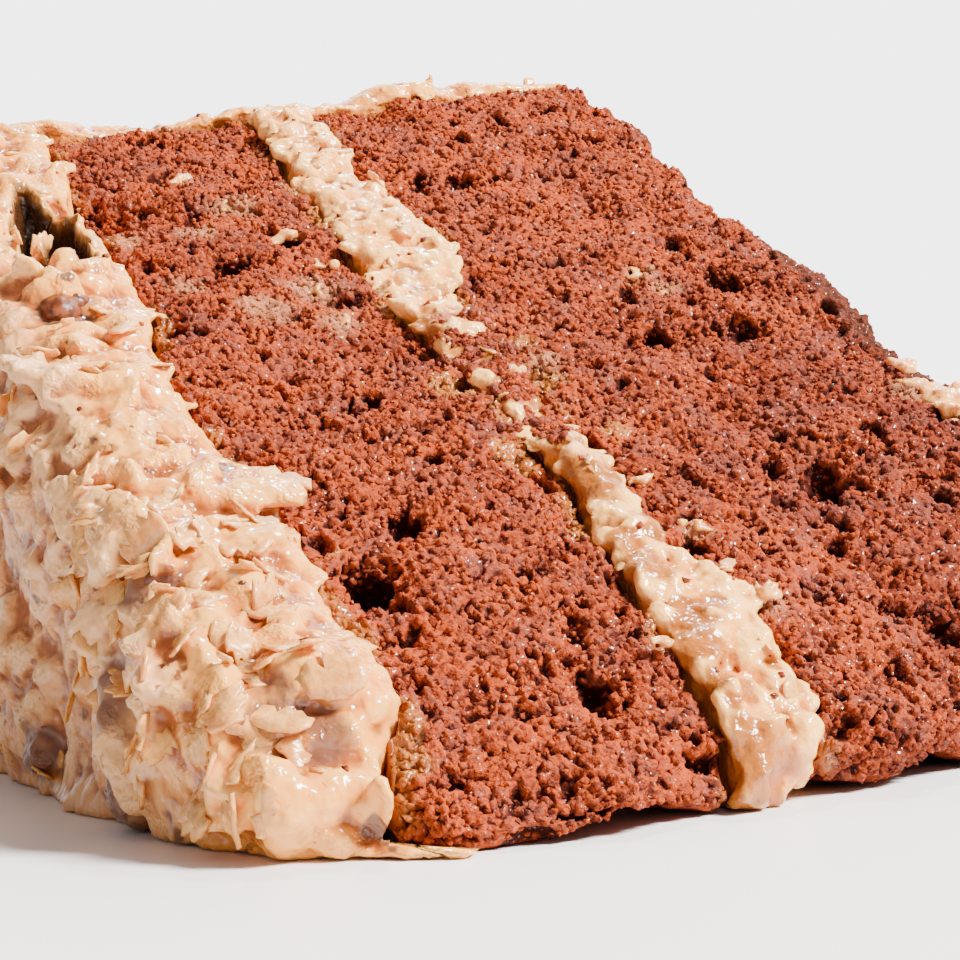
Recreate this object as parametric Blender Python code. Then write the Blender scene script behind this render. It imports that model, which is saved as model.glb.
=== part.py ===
"""A slice of two-layer chocolate cake with coconut frosting, lying on one of its cut sides.

A place in the slice is given by x, r and w. x runs through the layers, from the frosted top to the base. r is
the distance from the middle line of the whole cake. w runs from 0 at the cut side that lies down to 1 at the
cut side that faces up.
"""

import math
import random

import bmesh
import bpy
from mathutils import Matrix, Vector, noise
from mathutils.bvhtree import BVHTree

# The whole cake that the slice was cut from
SPONGE_RADIUS = 0.126
OUTER_RADIUS = 0.131
CAKE_HEIGHT = 0.062
CORNER_RADIUS = 0.005

# The angle between the cut sides, at the frosted top and at the base
TOP_ANGLE = math.radians(29.3)
BASE_ANGLE = math.radians(33.8)

# The blunt tip, as pairs of x and r, and how the upper cut side droops towards it
TIP_EDGE = (
    (-0.013, 0.0175), (-0.004, 0.0150), (0.003, 0.0108), (0.012, 0.0094), (0.020, 0.0122), (0.027, 0.0154),
    (0.045, 0.0190), (0.062, 0.0205),
)
APEX_TO_TIP = 0.014
TIP_DROOP = 0.42
TIP_REACH = 0.006
TIP_BULGE = 0.0010
LEAST_SHARE = 0.5

# Where the tip is clear of what it lies on, as x and height
TIP_LIFTS = ((0.0295, 0.0014), (0.0420, 0.0018))
LIFT_WIDTH = 0.0035

# The borders between the layers, as pairs of r and x: each wanders a little from tip to rim
FROSTED_FACE = (
    (0.014, -0.0078),
    (0.026, -0.0100), (0.042, -0.0108), (0.052, -0.0118), (0.066, -0.0130), (0.095, -0.0132),
    (0.131, -0.0122),
)
SPONGE_TOP = (
    (0.009, -0.0014), (0.014, -0.0008), (0.019, 0.0020), (0.028, 0.0008), (0.043, 0.0014), (0.054, -0.0014),
    (0.066, -0.0014), (0.080, 0.0005), (0.100, 0.0002), (0.131, -0.0008),
)
FILLING_TOP = (
    (0.012, 0.0228), (0.032, 0.0226), (0.044, 0.0240), (0.056, 0.0228), (0.082, 0.0212), (0.104, 0.0218),
    (0.131, 0.0226),
)
FILLING_BASE = (
    (0.012, 0.0292), (0.022, 0.0302), (0.034, 0.0270), (0.058, 0.0270), (0.070, 0.0266), (0.088, 0.0298),
    (0.106, 0.0284), (0.131, 0.0274),
)
SPONGE_BASE = (
    (0.018, 0.0630), (0.040, 0.0640), (0.070, 0.0640), (0.090, 0.0612), (0.112, 0.0622), (0.131, 0.0588),
)

# Half of the gap between two neighbours
HALF_GAP = 0.0002

# How finely a piece is divided before its relief, and how many triangles are left of it afterwards
CELL = 0.0015
LEVELS = 24
SPONGE_TRIANGLES = 2300
FILLING_TRIANGLES = 700
FROSTING_TRIANGLES = 3000

# Relief: heights and sizes of the swells, clumps and grains of torn crumb, and of the lumps of frosting. Each
# wave and each piece reads the noise a shift further on, so that no two are alike.
WAVE_SHIFT = Vector((5.3, -7.1, 2.9))
CRUMB_WAVES = ((0.0010, 0.015), (0.0011, 0.0065), (0.0007, 0.0035))
FROSTING_WAVES = ((0.0016, 0.013), (0.0016, 0.0065), (0.0007, 0.0036))
FILLING_WAVES = ((0.0008, 0.008), (0.0010, 0.0040))
FILLING_PROUD = 0.0004
FROSTING_PROUD = 0.0008
RIDGE_ROUNDING = 0.0024
RIDGE_REACH = 0.007
UPPER_SEED, FILLING_SEED, LOWER_SEED, FROSTING_SEED, TOPPING_SEED = range(1, 6)
TOP_UNDERCUT = 0.0035
UNDERCUT_REACH = 0.014

# Holes torn in the upper cut side, as x, r, radius and depth
PITS = (
    (0.0050, 0.0315, 0.0016, 0.0030), (0.0096, 0.0391, 0.0018, 0.0024), (0.0010, 0.0493, 0.0020, 0.0030),
    (0.0455, 0.0408, 0.0020, 0.0026), (0.0540, 0.0756, 0.0022, 0.0024), (0.0511, 0.0656, 0.0020, 0.0024),
    (0.0384, 0.1040, 0.0022, 0.0024), (0.0390, 0.0943, 0.0020, 0.0020), (0.0099, 0.0873, 0.0020, 0.0020),
    (0.0457, 0.0238, 0.0018, 0.0018), (0.0155, 0.0182, 0.0018, 0.0020), (0.0429, 0.0660, 0.0018, 0.0018),
    (0.0175, 0.0773, 0.0018, 0.0018), (0.0008, 0.1050, 0.0038, 0.0055),
)

# Coconut flakes and nut pieces that stand out of the frosting, with their numbers on each side of it
FLAKE_LENGTHS = (0.0050, 0.0090)
FLAKE_WIDTHS = (0.0015, 0.0024)
FLAKE_THICKNESS = 0.0008
FLAKE_RISES = (0.0008, 0.0022)
FLAKE_SUNK = 0.0007
FLAKE_SEGMENTS = 4
FLAKE_RAGGED = (0.7, 1.1)
FLAKE_TWIST = 0.5
FLAKE_BOW = 0.6
NUT_RADII = (0.0022, 0.0034)
NUT_STRETCH = ((1.0, 1.5), (0.8, 1.1), (0.6, 0.8))
NUT_RAGGED = (0.9, 1.1)
NUT_SUNK = 0.3
COUNTS = {"cut": (15, 2), "top": (18, 6), "rim": (8, 2)}
CLEARANCE = 0.0006
EDGE_MARGIN = 0.004
LEVEL_MARGIN = 0.05
CAST_REACH = 0.02

# Edges sharper than this are shaded as edges
SHARP_ANGLE = math.radians(50)

# Colour and roughness of each piece
LOOKS = {
    "coconut_frosting": ((0.72, 0.50, 0.33, 1.0), 0.35),
    "upper_sponge": ((0.36, 0.095, 0.042, 1.0), 0.85),
    "coconut_filling": ((0.78, 0.57, 0.38, 1.0), 0.40),
    "lower_sponge": ((0.36, 0.095, 0.042, 1.0), 0.85),
}


def mixed(a, b, t):
    return a + (b - a) * t


def eased(pairs, value):
    """Reads a curve given as pairs, with an eased step from each pair to the next."""
    for (start, low), (end, high) in zip(pairs, pairs[1:]):
        if value <= end:
            t = min(1.0, max(0.0, (value - start) / (end - start)))
            return mixed(low, high, t * t * (3 - 2 * t))
    return pairs[-1][1]


def waves(point, sizes, seed):
    """Smooth noise: a sum of waves, each given as its height and its size."""
    return sum(
        height * noise.noise(point / size + WAVE_SHIFT * (seed * len(sizes) + number))
        for number, (height, size) in enumerate(sizes)
    )


def cut_angle(x, r):
    """The angle at which the upper cut side lies, lower towards the blunt tip."""
    whole = mixed(TOP_ANGLE, BASE_ANGLE, min(1.0, max(0.0, x / CAKE_HEIGHT)))
    return whole * (1 - TIP_DROOP * nearness_to_tip(x, r))


def nearness_to_tip(x, r):
    return math.exp(-max(0.0, r - eased(TIP_EDGE, x)) / TIP_REACH)


def place(x, r, w, rise=0.0):
    """The point in space at x, r and w, where the upper cut side is raised by rise."""
    near_tip = nearness_to_tip(x, r)
    lift = sum(height * math.exp(-((x - middle) / LIFT_WIDTH) ** 2) for middle, height in TIP_LIFTS)
    smooth = cut_angle(x, r)
    angle = mixed(near_tip * lift / r, max(LEAST_SHARE * smooth, smooth + rise / r), w)
    reach = r - TIP_BULGE * near_tip * math.sin(math.pi * w)
    return Vector((x, reach * math.cos(angle) - APEX_TO_TIP, reach * math.sin(angle)))


def cells_between(start, end):
    return max(2, round(abs(end - start) / CELL))


def block(columns, rows, keep, spread):
    """A closed block of grid cells. keep tells which cells it has, and spread where each vertex goes."""
    bm = bmesh.new()
    bmesh.ops.create_grid(bm, x_segments=columns, y_segments=rows, size=0.5)
    for vert in bm.verts:
        vert.co = (round((vert.co.x + 0.5) * columns), round((vert.co.y + 0.5) * rows), 0)
    left_out = [face for face in bm.faces if not keep(*face.calc_center_median().xy)]
    bmesh.ops.delete(bm, geom=left_out, context="FACES")
    grown = bmesh.ops.extrude_face_region(bm, geom=bm.faces[:], use_keep_orig=True)
    top = [item for item in grown["geom"] if isinstance(item, bmesh.types.BMVert)]
    bmesh.ops.translate(bm, verts=top, vec=(0, 0, LEVELS))
    for level in range(1, LEVELS):
        whole = bm.verts[:] + bm.edges[:] + bm.faces[:]
        bmesh.ops.bisect_plane(bm, geom=whole, plane_co=(0, 0, level), plane_no=(0, 0, 1))
    bmesh.ops.recalc_face_normals(bm, faces=bm.faces[:])
    for vert in bm.verts:
        column, row, level = (round(value) for value in vert.co)
        vert.co = spread(column, row, level / LEVELS)
    return bm


def add_object(name, bm, collection):
    mesh = bpy.data.meshes.new(name)
    bm.to_mesh(mesh)
    bm.free()
    obj = bpy.data.objects.new(name, mesh)
    collection.objects.link(obj)
    return obj


def add_piece(name, bm, triangles, collection):
    """Adds a block as an object, thinned to about the given number of triangles."""
    bmesh.ops.triangulate(bm, faces=bm.faces[:])
    ratio = triangles / len(bm.faces)
    piece = add_object(name, bm, collection)
    thin = piece.modifiers.new("thin", "DECIMATE")
    thin.ratio = ratio
    return piece


def pit_depth(x, r):
    return sum(
        depth * math.exp(-((x - pit_x) ** 2 + (r - pit_r) ** 2) / radius ** 2)
        for pit_x, pit_r, radius, depth in PITS
    )


def make_layer(name, top, base, base_is_free, sizes, proud, triangles, seed, collection):
    """A layer between two borders, from the tip to the frosting round the rim."""
    middle_top, middle_base = top[len(top) // 2][1], base[len(base) // 2][1]
    columns = cells_between(middle_top, middle_base)
    rows = cells_between(APEX_TO_TIP, SPONGE_RADIUS)

    def relief(x, r, w):
        return proud + waves(place(x, r, w), sizes, seed)

    def spread(column, row, w):
        share = column / columns
        middle = mixed(middle_top, middle_base, share)
        tip = eased(TIP_EDGE, middle)
        r = mixed(tip - relief(middle, tip, w), SPONGE_RADIUS - HALF_GAP, row / rows)
        last = eased(base, r)
        last += relief(last, r, w) if base_is_free else -HALF_GAP
        x = mixed(eased(top, r) + HALF_GAP, last, share)
        return place(x, r, w, relief(x, r, 1.0) - pit_depth(x, r))

    return add_piece(name, block(columns, rows, lambda column, row: True, spread), triangles, collection)


def frosted_x(r):
    return eased(FROSTED_FACE, r)


def ridge(distance):
    """How far a side of the frosting falls back at a distance from the edge round the cut side."""
    return RIDGE_ROUNDING * max(0.0, 1 - distance / RIDGE_REACH) ** 2


def lumps(x, r, w):
    return FROSTING_PROUD + waves(place(x, r, w), FROSTING_WAVES, FROSTING_SEED)


def rounded_corner(x, r):
    """Pulls the square edge where the frosted top meets the rim back to a round one."""
    along_x = frosted_x(OUTER_RADIUS) + CORNER_RADIUS - x
    along_r = r - (OUTER_RADIUS - CORNER_RADIUS)
    if min(along_x, along_r) <= 0:
        return x, r
    pull = 1 - max(along_x, along_r) / math.hypot(along_x, along_r)
    return x + along_x * pull, r - along_r * pull


def make_frosting(collection):
    """The frosted top and the band round the rim, in one piece."""
    slab = cells_between(frosted_x(SPONGE_RADIUS), 0)
    columns = slab + cells_between(0, CAKE_HEIGHT)
    band = cells_between(APEX_TO_TIP, SPONGE_RADIUS)
    rows = band + cells_between(SPONGE_RADIUS, OUTER_RADIUS)

    def r_at(column, row, w):
        middle = mixed(frosted_x(APEX_TO_TIP), 0.0, column / slab)
        if row <= band:
            tip = eased(TIP_EDGE, middle)
            gap = HALF_GAP if row == band and column >= slab else 0.0
            return mixed(tip - lumps(middle, tip, w), SPONGE_RADIUS, row / band) + gap
        outer = OUTER_RADIUS + lumps(middle, OUTER_RADIUS, w) - ridge((1 - w) * OUTER_RADIUS * TOP_ANGLE)
        return mixed(SPONGE_RADIUS, outer, (row - band) / (rows - band))

    def x_at(column, row, r, w):
        if column <= slab:
            undercut = TOP_UNDERCUT * (1 - w) * math.exp((APEX_TO_TIP - r) / UNDERCUT_REACH)
            face = frosted_x(r) - lumps(frosted_x(r), r, w) + ridge((1 - w) * r * TOP_ANGLE) + undercut
            gap = HALF_GAP if column == slab and row <= band else 0.0
            return mixed(face, eased(SPONGE_TOP, r), column / slab) - gap
        return mixed(eased(SPONGE_TOP, r), eased(SPONGE_BASE, r), (column - slab) / (columns - slab))

    def spread(column, row, w):
        r = r_at(column, row, w)
        x, r = rounded_corner(x_at(column, row, r, w), r)
        fall = ridge(min(abs(x - frosted_x(r)), abs(OUTER_RADIUS - r)))
        return place(x, r, w, lumps(x, r, 1.0) - fall - pit_depth(x, r))

    bm = block(columns, rows, lambda column, row: column < slab or row > band, spread)
    return add_piece("coconut_frosting", bm, FROSTING_TRIANGLES, collection)


def flake_shape(rng):
    """A bent strip of coconut along +X, sunk at its near end and rising to its far end."""
    bm = bmesh.new()
    bmesh.ops.create_grid(bm, x_segments=FLAKE_SEGMENTS, y_segments=1, size=0.5)
    length, width, rise = rng.uniform(*FLAKE_LENGTHS), rng.uniform(*FLAKE_WIDTHS), rng.uniform(*FLAKE_RISES)
    twist, bow = rng.uniform(-FLAKE_TWIST, FLAKE_TWIST), rng.uniform(-FLAKE_BOW, FLAKE_BOW)
    for vert in bm.verts:
        share = vert.co.x + 0.5
        across = vert.co.y * width * rng.uniform(*FLAKE_RAGGED)
        height = rise * share * share - FLAKE_SUNK + across * math.sin(twist * share)
        vert.co = (length * vert.co.x, across + bow * length * share * (1 - share), height)
    grown = bmesh.ops.extrude_face_region(bm, geom=bm.faces[:], use_keep_orig=True)
    upper = [item for item in grown["geom"] if isinstance(item, bmesh.types.BMVert)]
    bmesh.ops.translate(bm, verts=upper, vec=(0, 0, FLAKE_THICKNESS))
    bmesh.ops.recalc_face_normals(bm, faces=bm.faces[:])
    return bm


def nut_shape(rng):
    """A nut piece under a skin of frosting: a low uneven lump."""
    bm = bmesh.new()
    radius = rng.uniform(*NUT_RADII)
    bmesh.ops.create_icosphere(bm, subdivisions=2, radius=radius)
    stretch = Vector(rng.uniform(*limits) for limits in NUT_STRETCH)
    for vert in bm.verts:
        vert.co = vert.co * stretch * rng.uniform(*NUT_RAGGED)
        vert.co.z -= NUT_SUNK * radius
    return bm


def random_ray(side, rng):
    """A ray that comes from outside onto a random spot of the given side of the frosting."""
    r = mixed(APEX_TO_TIP + EDGE_MARGIN, OUTER_RADIUS - EDGE_MARGIN, math.sqrt(rng.random()))
    w = rng.uniform(LEVEL_MARGIN, 1 - LEVEL_MARGIN)
    if side == "cut":
        aim = place(rng.uniform(frosted_x(r), 0), r, 1.0)
        start = aim + Vector((0, -math.sin(TOP_ANGLE), math.cos(TOP_ANGLE))) * CAST_REACH
    elif side == "top":
        aim = place(frosted_x(r), r, w)
        start = aim - Vector((CAST_REACH, 0, 0))
    else:
        x = rng.uniform(0, CAKE_HEIGHT - EDGE_MARGIN)
        aim, start = place(x, OUTER_RADIUS, w), place(x, OUTER_RADIUS + CAST_REACH, w)
    return start, (aim - start).normalized()


def set_on(bm, spot, normal, rng):
    """Lays a shape made round the origin on the surface at spot, turned a random way."""
    upright = normal.to_track_quat("Z", "Y").to_matrix().to_4x4()
    turn = Matrix.Rotation(rng.uniform(0, 2 * math.pi), 4, "Z")
    bmesh.ops.transform(bm, matrix=Matrix.Translation(spot) @ upright @ turn, verts=bm.verts[:])


def is_clear(bm, neighbours):
    """True where the shape is above the ground and away from every neighbouring piece."""
    above = all(vert.co.z > HALF_GAP for vert in bm.verts)
    return above and all(
        tree.find_nearest(vert.co, CLEARANCE)[0] is None for tree in neighbours for vert in bm.verts
    )


def add_toppings(frosting, neighbours, collection):
    """Fuses the coconut flakes and nut pieces to the frosting."""
    bpy.context.view_layer.update()
    graph = bpy.context.evaluated_depsgraph_get()
    surface = BVHTree.FromObject(frosting, graph)
    others = [BVHTree.FromObject(piece, graph) for piece in neighbours]
    rng = random.Random(TOPPING_SEED)
    toppings = bpy.data.collections.new("toppings")
    collection.children.link(toppings)
    for side, counts in COUNTS.items():
        for make_shape, count in zip((flake_shape, nut_shape), counts):
            added = 0
            while added < count:
                spot, normal, _, _ = surface.ray_cast(*random_ray(side, rng))
                if spot is None:
                    continue
                bm = make_shape(rng)
                set_on(bm, spot, normal, rng)
                if is_clear(bm, others):
                    add_object("topping", bm, toppings)
                    added += 1
                else:
                    bm.free()
    union = frosting.modifiers.new("toppings", "BOOLEAN")
    union.operation = "UNION"
    union.operand_type = "COLLECTION"
    union.collection = toppings
    apply_modifiers(frosting)
    for topping in list(toppings.objects):
        bpy.data.objects.remove(topping, do_unlink=True)
    bpy.data.collections.remove(toppings)


def apply_modifiers(obj):
    bpy.context.view_layer.update()
    graph = bpy.context.evaluated_depsgraph_get()
    mesh = bpy.data.meshes.new_from_object(obj.evaluated_get(graph))
    obj.modifiers.clear()
    obj.data = mesh


def colour(piece):
    base_colour, roughness = LOOKS[piece.name]
    material = bpy.data.materials.new(piece.name)
    material.use_nodes = True
    shader = material.node_tree.nodes["Principled BSDF"]
    shader.inputs["Base Color"].default_value = base_colour
    shader.inputs["Roughness"].default_value = roughness
    shader.inputs["Metallic"].default_value = 0.0
    piece.data.materials.clear()
    piece.data.materials.append(material)
    piece.data.shade_smooth()
    piece.data.set_sharp_from_angle(angle=SHARP_ANGLE)


def stand_on_origin(pieces):
    """Puts the middle of the bottom of the box round the whole slice at the origin."""
    bpy.context.view_layer.update()
    graph = bpy.context.evaluated_depsgraph_get()
    corners = [Vector(corner) for piece in pieces for corner in piece.evaluated_get(graph).bound_box]
    low = Vector(min(corner[axis] for corner in corners) for axis in range(3))
    high = Vector(max(corner[axis] for corner in corners) for axis in range(3))
    for piece in pieces:
        piece.location = (-(low.x + high.x) / 2, -(low.y + high.y) / 2, -low.z)


def main():
    for old in list(bpy.data.objects):
        bpy.data.objects.remove(old, do_unlink=True)
    collection = bpy.data.collections.new("cake_slice")
    bpy.context.scene.collection.children.link(collection)
    upper = make_layer(
        "upper_sponge", SPONGE_TOP, FILLING_TOP, False, CRUMB_WAVES, 0.0, SPONGE_TRIANGLES, UPPER_SEED,
        collection,
    )
    filling = make_layer(
        "coconut_filling", FILLING_TOP, FILLING_BASE, False, FILLING_WAVES, FILLING_PROUD, FILLING_TRIANGLES,
        FILLING_SEED, collection,
    )
    lower = make_layer(
        "lower_sponge", FILLING_BASE, SPONGE_BASE, True, CRUMB_WAVES, 0.0, SPONGE_TRIANGLES, LOWER_SEED,
        collection,
    )
    frosting = make_frosting(collection)
    add_toppings(frosting, (upper, filling, lower), collection)
    pieces = (frosting, upper, filling, lower)
    for piece in pieces:
        colour(piece)
    stand_on_origin(pieces)


main()
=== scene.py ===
# %% [markdown]
# A slice of chocolate layer cake. It lies on one of its two cut sides, with its blunt tip towards us, thick
# coconut frosting on the left and round the far rim, and a coconut filling between two sponges. The packed
# model gives each piece its place and size, and this script the surface that one would see. It works in
# metres.

# %% Load the model
import math

import bmesh
import bpy
import numpy as np
from mathutils import Matrix, Vector, noise
from mathutils.bvhtree import BVHTree


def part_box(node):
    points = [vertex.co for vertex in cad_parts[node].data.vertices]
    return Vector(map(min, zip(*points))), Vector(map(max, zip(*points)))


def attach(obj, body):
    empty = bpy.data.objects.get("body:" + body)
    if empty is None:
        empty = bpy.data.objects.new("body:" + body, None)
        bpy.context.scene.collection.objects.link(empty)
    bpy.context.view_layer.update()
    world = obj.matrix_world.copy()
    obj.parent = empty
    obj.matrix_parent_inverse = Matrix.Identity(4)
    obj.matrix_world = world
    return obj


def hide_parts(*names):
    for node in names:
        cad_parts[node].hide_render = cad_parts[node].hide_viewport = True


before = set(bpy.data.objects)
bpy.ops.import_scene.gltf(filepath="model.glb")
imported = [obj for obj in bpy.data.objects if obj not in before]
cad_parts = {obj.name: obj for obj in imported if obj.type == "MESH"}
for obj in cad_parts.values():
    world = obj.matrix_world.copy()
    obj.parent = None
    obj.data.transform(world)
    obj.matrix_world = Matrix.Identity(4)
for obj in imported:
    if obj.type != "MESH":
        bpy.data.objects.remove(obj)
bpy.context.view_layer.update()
MM = 0.001
print("nodes:", sorted(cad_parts))

# %% [markdown]
# A slice follows the whole cake that it was cut from. So a place is given as x, through the layers, r, the
# distance from the cake's middle line, and the depth below the cut side. The middle line runs along X, on
# the floor, a little in front of the tip. The upper sponge's box tells where it is: its far end is the rim,
# and its highest x the border of the filling.

# %% Find the slice's own coordinates
SPONGE_RIM = 125.8 * MM
FILLING_BORDER = 23.8 * MM
TOP_ANGLE = math.radians(29.3)
BASE_ANGLE = math.radians(33.8)
CAKE_HEIGHT = 62 * MM
upper_box_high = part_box("upper_sponge")[1]
LAYERS_START = upper_box_high.x - FILLING_BORDER
MIDDLE_LINE = upper_box_high.y - SPONGE_RIM


def share(values):
    """The values, held between 0 and 1."""
    return np.clip(values, 0, 1)


def slice_place(x, r, below=0.0):
    """The point at x and r, in mm, that lies the given depth below the upper cut side."""
    angle = TOP_ANGLE + (BASE_ANGLE - TOP_ANGLE) * min(1.0, max(0.0, x * MM / CAKE_HEIGHT))
    angle -= below / r
    return Vector((
        LAYERS_START + x * MM, MIDDLE_LINE + r * MM * math.cos(angle), r * MM * math.sin(angle)
    ))


def slice_measures(points):
    """x, r and the depth below the upper cut side of many points, all in mm."""
    x = points[:, 0] - LAYERS_START
    out, up = points[:, 1] - MIDDLE_LINE, points[:, 2]
    cut = TOP_ANGLE + (BASE_ANGLE - TOP_ANGLE) * share(x / CAKE_HEIGHT)
    r = np.hypot(out, up)
    return x / MM, r / MM, (cut - np.arctan2(up, out)) * r / MM


print("middle line at y", round(MIDDLE_LINE, 4), "layers start at x", round(LAYERS_START, 4))

# %% [markdown]
# The camera is where it was for the photograph: low, close to the tip, looking along the slice and a little
# to the right. Its place is given from the tip, where the layers start.

# %% Set the camera
CAMERA_X, CAMERA_Y, CAMERA_Z = -38.26, -89.96, 18.19
CAMERA_TURN, CAMERA_UP, CAMERA_ROLL = 23.45, 1.637, -2.753
CAMERA_LENS = 70.88


def new_object(name, data):
    made = bpy.data.objects.new(name, data)
    bpy.context.scene.collection.objects.link(made)
    return made


turn, up_tilt, roll = (math.radians(angle) for angle in (CAMERA_TURN, CAMERA_UP, CAMERA_ROLL))
ahead = Vector((math.sin(turn) * math.cos(up_tilt), math.cos(turn) * math.cos(up_tilt), math.sin(up_tilt)))
level_right = Vector((math.cos(turn), -math.sin(turn), 0))
level_up = level_right.cross(ahead)
camera_right = level_right * math.cos(roll) + level_up * math.sin(roll)
camera_up = camera_right.cross(ahead)

camera_data = bpy.data.cameras.new("camera")
camera_data.lens = CAMERA_LENS
camera_data.sensor_width = 36
camera_data.clip_start = 0.01
camera = new_object("camera", camera_data)
camera.matrix_world = Matrix.Translation((
    LAYERS_START + CAMERA_X * MM, MIDDLE_LINE + CAMERA_Y * MM, CAMERA_Z * MM
)) @ Matrix((camera_right, camera_up, -ahead)).transposed().to_4x4()
bpy.context.scene.camera = camera
print("camera at", [round(value, 4) for value in camera.matrix_world.translation])

# %% [markdown]
# Materials are written as sums. A Term holds one output of a node, and arithmetic on it adds Math nodes, so
# that a mask reads as a formula. Colours are blended by Mix nodes, because a Math node would turn them
# grey.

# %% Write materials as sums


class Term:
    """One output of a node, in a sum that adds the nodes it needs."""

    def __init__(self, tree, socket):
        self.tree = tree
        self.socket = socket

    def node(self, kind, settings=(), *inputs, **named):
        """Any other node: its settings first, then its sockets in order or by name."""
        made = self.tree.nodes.new(kind)
        for setting, value in dict(settings).items():
            setattr(made, setting, value)
        sockets = [socket for socket in made.inputs if socket.enabled]
        for socket, value in zip(sockets, inputs):
            self.feed(socket, value)
        for name, value in named.items():
            self.feed(next(socket for socket in sockets if socket.name == name), value)
        return Term(self.tree, next(socket for socket in made.outputs if socket.enabled))

    def feed(self, socket, value):
        """Links a Term to a socket, or sets a number or colour on it."""
        if isinstance(value, Term):
            self.tree.links.new(value.socket, socket)
        elif socket.type == "RGBA":
            socket.default_value = (*value[:3], 1)
        else:
            socket.default_value = value

    def math(self, operation, first, second):
        return self.node("ShaderNodeMath", {"operation": operation}, first, second)

    def __add__(self, other):
        return self.math("ADD", self, other)

    def __sub__(self, other):
        return self.math("SUBTRACT", self, other)

    def __rsub__(self, other):
        return self.math("SUBTRACT", other, self)

    def __mul__(self, other):
        return self.math("MULTIPLY", self, other)

    __radd__ = __add__
    __rmul__ = __mul__

    def ease(self, low, high):
        """0 where the term is at or under low, 1 at or over high, and an eased step between."""
        ends = {"From Min": low, "From Max": high}
        return self.node("ShaderNodeMapRange", {"interpolation_type": "SMOOTHSTEP"}, self, **ends)

    def blend(self, low, high):
        """A colour between two, by this term."""
        return self.node("ShaderNodeMix", {"data_type": "RGBA"}, self, low, high)


class Finish:
    """A material with one shader, whose patterns read the place on the object."""

    def __init__(self, name, **constants):
        self.material = bpy.data.materials.new(name)
        self.material.use_nodes = True
        tree = self.material.node_tree
        self.shader = tree.nodes["Principled BSDF"]
        self.place = Term(tree, tree.nodes.new("ShaderNodeTexCoord").outputs["Object"])
        self.set(**constants)

    def set(self, **values):
        for name, value in values.items():
            self.place.feed(self.shader.inputs[name.replace("_", " ")], value)

    def speckle(self, size, detail=2.0):
        """Soft noise with features of the given size in mm."""
        return self.place.node("ShaderNodeTexNoise", Vector=self.place, Scale=1 / (size * MM), Detail=detail)

    def painted(self, name):
        """A value that is stored on the mesh."""
        made = self.place.tree.nodes.new("ShaderNodeAttribute")
        made.attribute_name = name
        return Term(self.place.tree, made.outputs["Fac"])

    def bump(self, height, distance, strength=1.0):
        made = self.place.node("ShaderNodeBump", Height=height, Distance=distance * MM, Strength=strength)
        self.set(Normal=made)


print("material tools ready")

# %% [markdown]
# The set is plain: a pale floor, one soft light from the right, a small weak one from above and behind that
# draws sharp glints on the syrup, and a pale surrounding that fills the shadows and is brighter behind the
# slice, like the white wall of a studio.

# %% Build the set
FLOOR_SIZE = 6.0
FLOOR_PALE = ((0.84, 0.815, 0.81), (0.88, 0.855, 0.85))
KEY_FROM = Vector((0.40, -0.45, 0.55))
KEY_SIZE, KEY_POWER = 0.24, 35.0
GLINT_FROM = Vector((0.22, 0.34, 0.70))
GLINT_SIZE, GLINT_POWER = 0.05, 4.5
LIGHT_TINT = (1.0, 0.98, 0.95)
WALL_TOWARDS = Vector((0.50, 0.85, 0.15)).normalized()
WALL_TINT = (1.0, 0.965, 0.96)
WALL_STRENGTH, ROOM_STRENGTH = 4.6, 0.38
WALL_EDGE = (0.60, 0.86)


def object_of(name, bm):
    """Turns a finished bmesh into an object."""
    mesh = bpy.data.meshes.new(name)
    bm.to_mesh(mesh)
    bm.free()
    return new_object(name, mesh)


pale = Finish("pale_floor", Roughness=0.4)
pale.set(Base_Color=pale.speckle(40).ease(0.2, 0.8).blend(*FLOOR_PALE))
floor_shape = bmesh.new()
bmesh.ops.create_grid(floor_shape, x_segments=1, y_segments=1, size=FLOOR_SIZE / 2)
floor = object_of("floor", floor_shape)
floor.data.materials.append(pale.material)


def add_light(name, place, size, power):
    """A round light that points at the slice."""
    data = bpy.data.lights.new(name, "AREA")
    data.shape = "DISK"
    data.size = size
    data.energy = power
    data.color = LIGHT_TINT
    light = new_object(name, data)
    light.location = place
    light.rotation_euler = (-place).to_track_quat("-Z", "Y").to_euler()


add_light("key", KEY_FROM, KEY_SIZE, KEY_POWER)
add_light("glint", GLINT_FROM, GLINT_SIZE, GLINT_POWER)

world = bpy.data.worlds.new("surrounding")
world.use_nodes = True
background = world.node_tree.nodes["Background"]
direction = Term(world.node_tree, world.node_tree.nodes.new("ShaderNodeTexCoord").outputs["Generated"])
towards_wall = direction.node("ShaderNodeVectorMath", {"operation": "DOT_PRODUCT"}, direction, WALL_TOWARDS)
direction.feed(background.inputs["Color"], WALL_TINT)
strength = towards_wall.ease(*WALL_EDGE) * (WALL_STRENGTH - ROOM_STRENGTH) + ROOM_STRENGTH
direction.feed(background.inputs["Strength"], strength)
bpy.context.scene.world = world
print("set: floor, two lights and surrounding")

# %% [markdown]
# Every piece starts as a copy of its node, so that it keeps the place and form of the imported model. The
# copy is remeshed into even squares, which can be divided, moved and painted freely. Values for the
# materials are stored on the corners of the mesh.

# %% Copy, remesh and paint
FLOOR_SKIN = 0.05
NEIGHBOUR_REACH, NEIGHBOUR_COVERS = 1.5, 1.2
COVERED_DEPTH, UNDER_DEPTH = 3.0, 8.0
SHOWN_WEIGHT, THIN_HIDDEN_FIRST = 0.12, 6.0


def merged_copy(node_name, name):
    """A copy of a node's mesh whose triangles share their corners."""
    bm = bmesh.new()
    bm.from_mesh(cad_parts[node_name].data)
    bmesh.ops.remove_doubles(bm, verts=bm.verts[:], dist=0.001 * MM)
    return object_of(name, bm)


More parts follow.
